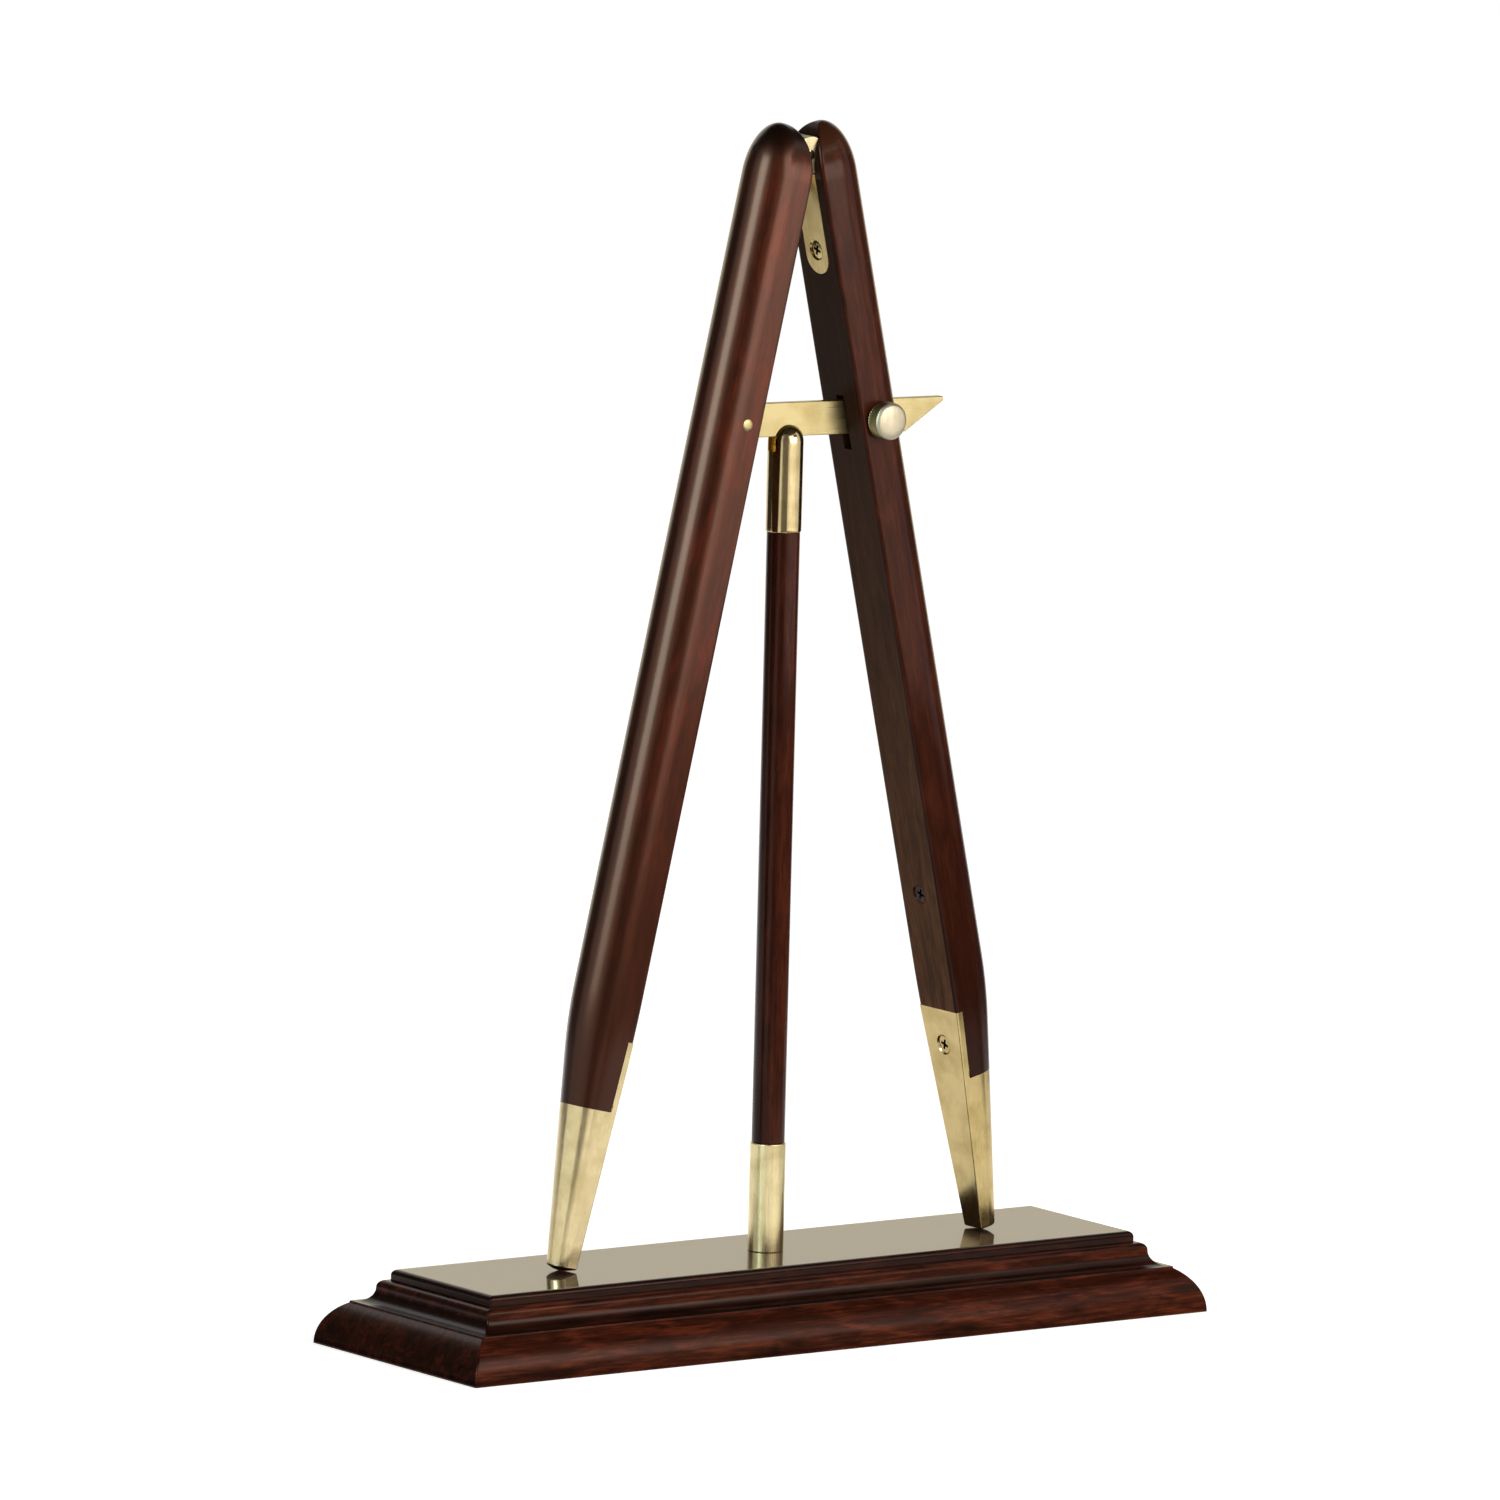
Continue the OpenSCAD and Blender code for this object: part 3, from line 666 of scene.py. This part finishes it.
def wooden_leg(side):
    """Leg with a domed top and a tapered foot: the dome's section shrinks as cos a while it rises as sin a.
    The flat face and the mortise have no varnish."""
    rise = np.radians(np.linspace(0, 89.5, 28))
    dome = [(DOME_UP - DOME_H + DOME_H * math.sin(a), math.cos(a), LEG_T / 2) for a in rise]
    start = LEG_LEN - TAPER_LEN - TAPER_BEND / 2
    downs = np.concatenate([np.linspace(WOOD_END, start, 20),
                            np.linspace(start, DOME_H - DOME_UP, 26)[1:-1]])
    name = SIDE_NAME[side]
    piece = solid(f"{name}_leg_wood", on_leg(np.concatenate([tapered(downs), loft(dome)]), side))
    cavity = KNUCKLE_R + RUN + 0.1
    cuts = [across_leg(cavity, -LEAF_W / 2 - RUN, LEAF_W / 2 + RUN),
            leaf_plate(-PAST, LEAF_T, SEAT_FIT),
            into_leg(countersink(HEAD_D), 0, LEAF_SCREW_DOWN),
            into_leg(countersink(HEAD_D), 0, SHOE_SCREW_DOWN),
            block(HALF_GAP - PAST, HALF_GAP + TONGUE_T, -LEG_W, LEG_W, -WOOD_END - PAST, -TONGUE_TOP)]
    half = MORTISE_W / 2
    if side == 1:
        cuts += [block(HALF_GAP - PAST, HALF_GAP + LEG_T + PAST, -half, half,
                       -CLAMP_DOWN - MORTISE_H / 2, -CLAMP_DOWN + MORTISE_H / 2),
                 across_leg(BUSH_D / 2 + SEAT_FIT, -LEG_W, 0, HALF_GAP + CLAMP_IN, CLAMP_DOWN),
                 into_leg(countersink(HEAD_D), 0, INNER_SCREW_DOWN)]
    else:
        cuts += [block(HALF_GAP - PAST, HALF_GAP + PIN_IN + BAR_H / 2 + POCKET_ROOM, -half, half,
                       -PIN_DOWN - MORTISE_H / 2, -PIN_DOWN + MORTISE_H / 2),
                 across_leg(PIVOT_D / 2 + SEAT_FIT, -LEG_W, LEG_W, HALF_GAP + PIN_IN, PIN_DOWN)]
    carve(piece, [on_leg(cut, side) for cut in cuts])
    dress(piece, f"{name}_leg", f"{name}_leg", leg_wood[side])
    x, y, z = off_leg(face_centres(piece), side).T
    mortise = (abs(y) < half + HAIR) & (x < LEG_T * taper_share(-z) - 0.3)
    paint(piece, (z < 0) & ((x < HALF_GAP + HAIR) | mortise), flat_wood[side])


def shoe(side):
    """Tapered brass shoe with a tongue up the flat face. It is eased round its sole, which is painted dark as
    the shade under the foot and bulges by SOLE_BULGE (1 - s^2) at the share s of the way from its middle to
    its rim."""
    ease = np.radians(np.linspace(90, 0, 5))
    sole = 0.5
    downs = LEG_LEN - sole + sole * np.sin(ease)
    shares = taper_share(downs)
    shrink = 1 - sole * (1 - np.cos(ease)) / (LEG_W * SOLE_SHARE / 2)
    rings = tapered(downs, SHOE_EDGE_R)
    middle = HALF_GAP + LEG_T * shares / 2
    rings[..., 0] = middle[:, None] + (rings[..., 0] - middle[:, None]) * shrink[:, None]
    rings[..., 1] *= shrink[:, None]
    share = np.linspace(0.02, 1, 8)[:-1, None, None]
    centre = (HALF_GAP + LEG_T * shares[0] / 2, 0, -LEG_LEN)
    bulge = centre + (rings[:1] - centre) * share - (0, 0, SOLE_BULGE) * (1 - share ** 2)
    body = tapered(np.linspace(LEG_LEN - sole, TONGUE_TOP, 30)[1:], SHOE_EDGE_R)
    name = SIDE_NAME[side]
    piece = solid(f"{name}_brass_shoe", on_leg(np.concatenate([bulge, rings, body]), side))
    cuts = [block(HALF_GAP + TONGUE_T, HALF_GAP + LEG_T + PAST, -LEG_W, LEG_W,
                  -WOOD_END, -TONGUE_TOP + PAST),
            into_leg(countersink(HEAD_D), 0, SHOE_SCREW_DOWN)]
    carve(piece, [on_leg(cut, side) for cut in cuts])
    dress(piece, f"{name}_leg", f"{name}_shoe", leg_brass[side])
    # Painted shade: the sole's underside is painted dark, as the shade under the foot
    paint(piece, off_leg(face_centres(piece), side)[:, 2] < sole / 2 - LEG_LEN, dark_steel_and_painted_shade)


def knuckle(y0, y1):
    """Rings of a bored barrel round the hinge axis, from y0 to y1, with eased rims."""
    bore, ease = HINGE_PIN_D / 2 + PIN_FIT, 0.15
    profile = [(bore, y0), (KNUCKLE_R - ease, y0), (KNUCKLE_R, y0 + ease), (KNUCKLE_R, y1 - ease),
               (KNUCKLE_R - ease, y1), (bore, y1), (bore, y0)]
    return lay(turned(profile, 64), (0, 0, 0), *BACKWARDS)


def hinge_leaf(side):
    """Brass leaf with its satin knuckles: the left one has the two outer knuckles, the right one the middle
    one. The plate is cut away beside them, and its tongues go into their walls."""
    half, mid = LEAF_W / 2, KNUCKLE_MID / 2
    foot, shoulder, tip, ease = half - LEAF_LEN, -KNUCKLE_R - RUN, -HINGE_PIN_D, 0.1
    if side == 1:
        ends = [(-mid, mid)]
        a = mid - ease
        top = [(half, shoulder), (a, shoulder), (a, tip), (-a, tip), (-a, shoulder), (-half, shoulder)]
    else:
        ends = [(-half - ease, -mid - RUN), (mid + RUN, half + ease)]
        a = mid + RUN + ease
        top = [(half, tip), (a, tip), (a, shoulder), (-a, shoulder), (-a, tip), (-half, tip)]
    plate = slab(np.vstack([top, arc((0, foot), half, 180, 360, 24)]), 0, LEAF_T, 0.08)
    name = SIDE_NAME[side]
    piece = solid(f"{name}_brass_leaf", on_leg(lay(plate, (HALF_GAP, 0, 0), *OUTWARDS), side))
    carve(piece, [on_leg(knuckle(*pair), side) for pair in ends], "UNION")
    carve(piece, [on_leg(into_leg(countersink(HEAD_D), 0, LEAF_SCREW_DOWN), side)])
    dress(piece, f"{name}_leg", f"{name}_hinge_leaf", leg_brass[side])
    centres = off_leg(face_centres(piece), side)
    paint(piece, np.hypot(centres[:, 0], centres[:, 2]) < KNUCKLE_R + 0.05, knuckle_brass)


def screw_rings(head_d, shank_d, length):
    """Rings of a countersunk screw, head up at 0 and pointing down +z: flat head with an eased rim."""
    rim = 0.12
    edge, shank = head_d / 2 - rim, shank_d / 2
    return turned([(0, 0), (edge - rim, 0), (edge, rim * 0.5), (edge - rim * 0.2, rim * 1.6),
                   (shank, head_d / 2 - shank), (shank, length), (0, length)], 48)


def cross_recess(head_d, turn):
    """Rings of the two tapered slots of a cross recess, each narrowing with depth."""
    long, wide, deep = head_d * 0.3, head_d * 0.085, head_d * 0.24
    top = rectangle(-long, long, -wide, wide)
    rings = np.stack([np.column_stack([top * share, np.full(4, depth)])
                      for share, depth in ((1.05, -0.2), (0.6, deep))])
    slots = []
    for angle in (turn, turn + 90):
        c, s = math.cos(math.radians(angle)), math.sin(math.radians(angle))
        slots.append(lay(rings, (0, 0, 0), (c, s, 0), (-s, c, 0), (0, 0, 1)))
    return slots


def leg_screw(name, node, side, down, material):
    """Countersunk screw in a leg's flat face, sunk a little below it, with painted shade in its recess."""
    face = HALF_GAP + SCREW_SUNK

    def place(rings):
        """Rings of an upright shape, moved into the leg."""
        return on_leg(lay(rings, (face, 0, -down), *OUTWARDS), side)
    piece = solid(name, place(screw_rings(HEAD_D, SCREW_D, SCREW_LEN - SCREW_SUNK)))
    carve(piece, [place(rings) for rings in cross_recess(HEAD_D, RECESS_TURN)])
    dress(piece, f"{SIDE_NAME[side]}_leg", node, material)
    x, y, z = off_leg(face_centres(piece), side).T
    # Painted shade: the recess of the cross is painted dark
    paint(piece, (x > face + 0.05) & (np.hypot(y, z + down) < HEAD_D * 0.36), dark_steel_and_painted_shade)


for side in (1, -1):
    wooden_leg(side)
    shoe(side)
    hinge_leaf(side)
    name = SIDE_NAME[side]
    for part, down in (("leaf", LEAF_SCREW_DOWN), ("shoe", SHOE_SCREW_DOWN)):
        leg_screw(f"{name}_{part}_cross_screw", f"{name}_{part}_screw", side, down, leg_brass[side])
leg_screw("inner_face_cross_screw", "inner_face_screw", 1, INNER_SCREW_DOWN, dark_steel_and_painted_shade)


def stay_bar():
    """Flat bar with a round end at its pin and a slanted point, its edges eased."""
    half, ease, bore = BAR_H / 2, 0.2, PIVOT_D / 2 + PIN_FIT
    outline = np.vstack([arc((0, 0), half, 90, 270, 24), [(BAR_LEN - BAR_SLANT, -half)],
                         [(BAR_LEN, half - BAR_TIP), (BAR_LEN, half)]])
    along = CLAMP_AT - PIN_AT
    dip = math.atan2(-along[2], along[0])
    u, v = (math.cos(dip), 0, -math.sin(dip)), (math.sin(dip), 0, math.cos(dip))
    rings = lay(slab(outline, -BAR_T / 2, BAR_T / 2, ease), PIN_AT, u, v, (0, -1, 0))
    piece = solid("brass_stay_bar", rings)
    hole = turned([(0, -BAR_T), (bore, -BAR_T), (bore, BAR_T), (0, BAR_T)], 48)
    carve(piece, [along_y(hole, PIN_AT)])
    dress(piece, "stay_bar", "stay_bar", bar_brass)


def pivot_pin():
    """Pin through the left leg with eased, slightly domed ends."""
    r, half, proud = PIVOT_D / 2, LEG_W / 2, 0.12
    end = [(0, half + proud), (r * 0.5, half + proud * 0.9), (r - 0.2, half + proud * 0.5), (r, half - 0.05)]
    profile = [*end, *[(a, -b) for a, b in end[::-1]]]
    dress(solid("stay_bar_pin", along_y(turned(profile, 48), PIN_AT)), "left_leg", "stay_pivot_pin",
          bar_brass)


def thumbscrew():
    """Round-headed screw: the head's side is knurled, with two crossing sets of slanting V grooves, deepest
    where sin(grooves / 2 (t + slope)) or sin(grooves / 2 (t - slope)) is 0. Its face is slightly domed."""
    r, shank = KNOB_D / 2, SHANK_D / 2
    low, start = LEG_W / 2 + RUN, BAR_T / 2 + RUN
    top = low + KNOB_T
    ease, tip, rows, points = 0.25, 0.3, 36, 264
    grooves, groove_deep = 44, 0.13
    side = np.linspace(low + ease, top - 1.0, rows)
    face = [(r - 0.25, top - 0.75), (r - 0.6, top - 0.4), (r - 0.9, top - 0.28),
            (r - 1.8, top - 0.12), (r - 3.0, top - 0.03), (0, top)]
    stem = [(0, start), (shank - tip, start), (shank, start + tip), (shank, low), (r - ease, low),
            (r, low + ease)]
    profile = np.vstack([stem, np.column_stack([np.full(rows, r), side]), face])
    rings = turned(profile, points)
    t = np.linspace(0, 2 * np.pi, points, endpoint=False)
    slope = 2 * (profile[:, 1:] - low) / KNOB_D
    groove = np.minimum(abs(np.sin(grooves / 2 * (t + slope))), abs(np.sin(grooves / 2 * (t - slope))))
    knurled = (profile[:, 0] == r)[:, None] & (profile[:, 1] > low + ease)[:, None]
    depth = np.where(knurled, groove_deep * (1 - groove), 0.0) / r
    rings[..., :2] *= 1 - depth[..., None]
    piece = solid("knurled_thumbscrew", along_y(rings, (CLAMP_AT[0], 0, CLAMP_AT[2])))
    dress(piece, "thumbscrew", "thumbscrew", bar_brass, 50)
    paint(piece, face_centres(piece)[:, 1] < -top + 0.9, knob_brass)


stay_bar()
pivot_pin()
thumbscrew()

# Parts that are right as packed, and get their finish only
for node, material in (("hinge_pin", rod_brass), ("clamp_bush", leg_brass[1]),
                       ("rod_fixing_screw", dark_steel_and_painted_shade)):
    frame["nodes"][node].data.materials.clear()
    frame["nodes"][node].data.materials.append(material)


# Camera: a long lens, so that the view is nearly parallel, left of the front and slightly rolled
VIEW_AZIMUTH = math.radians(-35.966)
VIEW_ELEVATION = math.radians(8.599)
VIEW_ROLL = math.radians(1.431)
VIEW_DISTANCE = 5000.0
VIEW_CENTRE_Z = 150.0
VIEW_SHIFT = (-6.983, -3.605)
LENS = 480.0
SENSOR = 36.0
VIEW_END = 100.0


def camera():
    """Looks at VIEW_CENTRE_Z on the axis of the rod, moved by VIEW_SHIFT across the picture."""
    a, e = VIEW_AZIMUTH, VIEW_ELEVATION
    back = np.array([math.sin(a) * math.cos(e), -math.cos(a) * math.cos(e), math.sin(e)])
    right = np.array([math.cos(a), math.sin(a), 0])
    up = np.cross(back, right)
    eye = (0, 0, VIEW_CENTRE_Z) + right * VIEW_SHIFT[0] + up * VIEW_SHIFT[1] + back * VIEW_DISTANCE
    across = right * math.cos(VIEW_ROLL) + up * math.sin(VIEW_ROLL)
    upward = -right * math.sin(VIEW_ROLL) + up * math.cos(VIEW_ROLL)
    data = bpy.data.cameras.new("camera")
    data.lens = LENS
    data.sensor_width = SENSOR
    data.clip_end = VIEW_END
    eyepiece = bpy.data.objects.new("camera", data)
    bpy.context.scene.collection.objects.link(eyepiece)
    columns = np.column_stack([across, upward, back, eye * MM])
    eyepiece.matrix_world = Matrix(columns.tolist() + [[0, 0, 0, 1]])
    bpy.context.scene.camera = eyepiece


camera()


# Studio: white floor and surroundings, two softboxes, and cards that only reflections see
def around(azimuth, distance, height):
    """Point at an azimuth seen from above, 0 in front and 90 to the right, in metres."""
    a = math.radians(azimuth)
    return Vector((distance * math.sin(a), -distance * math.cos(a), height))


def seen(tree):
    """1 for rays that show the surroundings: from the camera, in a reflection or through glass."""
    add(tree, "LightPath")
    path = tree.nodes[-1].outputs
    both = add(tree, "Math", {"operation": "MAXIMUM"}, {0: path["Is Camera Ray"], 1: path["Is Glossy Ray"]})
    return add(tree, "Math", {"operation": "MAXIMUM"}, {0: both, 1: path["Is Transmission Ray"]})


def softbox(name, azimuth, distance, height, aim, width, tall, radiance, colour, diffuse=True):
    """Rectangular lamp facing the point aim metres up the rod. Its power is radiance x pi x area. Without
    diffuse it only shows as a highlight."""
    lamp = bpy.data.lights.new(name, "AREA")
    lamp.shape = "RECTANGLE"
    lamp.size, lamp.size_y = width, tall
    lamp.energy = radiance * math.pi * width * tall
    lamp.color = to_linear(colour)[:3]
    box = bpy.data.objects.new(name, lamp)
    bpy.context.scene.collection.objects.link(box)
    box.location = around(azimuth, distance, height)
    box.rotation_euler = (Vector((0, 0, aim)) - box.location).to_track_quat("-Z", "Y").to_euler()
    box.visible_camera = False
    box.visible_diffuse = diffuse


def arc_row(start, end, radius, height):
    """Points round the rod between two azimuths, in metres."""
    a = np.radians(np.linspace(start, end, 24))
    return np.column_stack([radius * np.sin(a), -radius * np.cos(a), np.full(len(a), height)])


def card(name, rows, material):
    """Panel between two rows of points, in metres, that only reflections see."""
    near, far = np.arange(2 * len(rows[0])).reshape(2, -1)
    mesh = bpy.data.meshes.new(name)
    faces = np.column_stack([near[:-1], near[1:], far[1:], far[:-1]])
    mesh.from_pydata(np.vstack(rows), [], faces.tolist())
    mesh.materials.append(material)
    panel = bpy.data.objects.new(name, mesh)
    bpy.context.scene.collection.objects.link(panel)
    panel.visible_camera = False
    panel.visible_diffuse = False
    panel.visible_shadow = False
    panel.visible_transmission = False


def flags():
    """Cards round the object, which keep the varnish deep: a tall grey one by the camera, and charcoal ones
    at the back left and the right, low in front, overhead and on the floor, by the plinth and towards the
    camera. A small one stands high in front, for the bar when the stick is lifted. A beige backdrop at the
    back right is what the plinth's top mirrors."""
    matt = {"Roughness": 1.0, "Specular_IOR_Level": 0.0}
    felt = new_finish("charcoal_felt", Base_Color=to_linear("#4a4440"), **matt)[0]
    grey = new_finish("grey_card", Base_Color=to_linear("#d0ccc6"), **matt)[0]
    for name, start, end, radius, low, high, material in (
            ("camera_flag", -54, -15, 0.5, 0.0, 0.9, grey),
            ("back_left_flag", -168, -122, 0.75, 0.0, 0.9, felt),
            ("right_flag", 72, 112, 0.45, 0.0, 0.9, felt),
            ("front_flag", -15, 72, 0.3, 0.0, 0.12, felt),
            ("lifted_bar_flag", 20, 54, 0.35, 0.37, 0.48, felt)):
        card(name, [arc_row(start, end, radius, low), arc_row(start, end, radius, high)], material)
    card("ceiling_flag", [arc_row(0, 360, 0.01, 0.8), arc_row(0, 360, 0.7, 0.8)], felt)
    x, y, left, front, up = BASE_LEN / 2 * MM, BASE_DEP / 2 * MM, 0.06, 0.03, 0.0004
    outer = [(-x - left, y + left, up), (-x - left, -y - front, up), (x + front, -y - front, up)]
    inner = [(-x, y + left, up), (-x, -y, up), (x + front, -y, up)]
    card("floor_flag", [outer, inner], felt)
    card("table_edge_flag", [arc_row(-57, -34, 0.33, up), arc_row(-57, -34, 0.65, up)], felt)
    beige = new_finish("beige_backdrop", Base_Color=(0, 0, 0, 1), Specular_IOR_Level=0.0,
                       Emission_Color=to_linear("#fff5d9"), Emission_Strength=1.0)[0]
    card("backdrop", [arc_row(98, 192, 1.5, 0.0), arc_row(98, 192, 1.5, 0.75)], beige)


def studio():
    """Floor, world and lamps."""
    half, sunk, glow, room_light = 9.0, 0.0002, 0.8, 0.22
    mesh = bpy.data.meshes.new("floor")
    mesh.from_pydata([(*corner, -sunk) for corner in rectangle(-half, half, -half, half).tolist()],
                     [], [(0, 1, 2, 3)])
    floor = bpy.data.objects.new("floor", mesh)
    bpy.context.scene.collection.objects.link(floor)
    material, tree, shader = new_finish("white_paper", Base_Color=to_linear("#f4f3f1"), Roughness=0.9,
                                        Specular_IOR_Level=0.0, Emission_Color=(1, 1, 1, 1))
    lift = add(tree, "Math", {"operation": "MULTIPLY"}, {0: seen(tree), 1: glow})
    tree.links.new(lift, shader.inputs["Emission Strength"])
    mesh.materials.append(material)

    world = bpy.data.worlds.new("white_room")
    world.use_nodes = True
    bpy.context.scene.world = world
    tree = world.node_tree
    tree.nodes.clear()
    light = add(tree, "Background", None, {"Color": (1, 1, 1, 1), "Strength": room_light})
    shown = add(tree, "Background", None, {"Color": (1, 1, 1, 1), "Strength": 1.0})
    both = add(tree, "MixShader", None, {0: seen(tree), 1: light, 2: shown})
    add(tree, "OutputWorld", None, {"Surface": both})

    softbox("left_strip", azimuth=-81, distance=1.0, height=0.6, aim=0.3, width=0.46, tall=0.6,
            radiance=13.0, colour="#dcfffc", diffuse=False)
    softbox("key_softbox", azimuth=18, distance=1.2, height=0.52, aim=0.15, width=1.0, tall=0.85,
            radiance=5.5, colour="#fff4e8")


flags()
studio()
bpy.context.scene.view_settings.view_transform = "Standard"
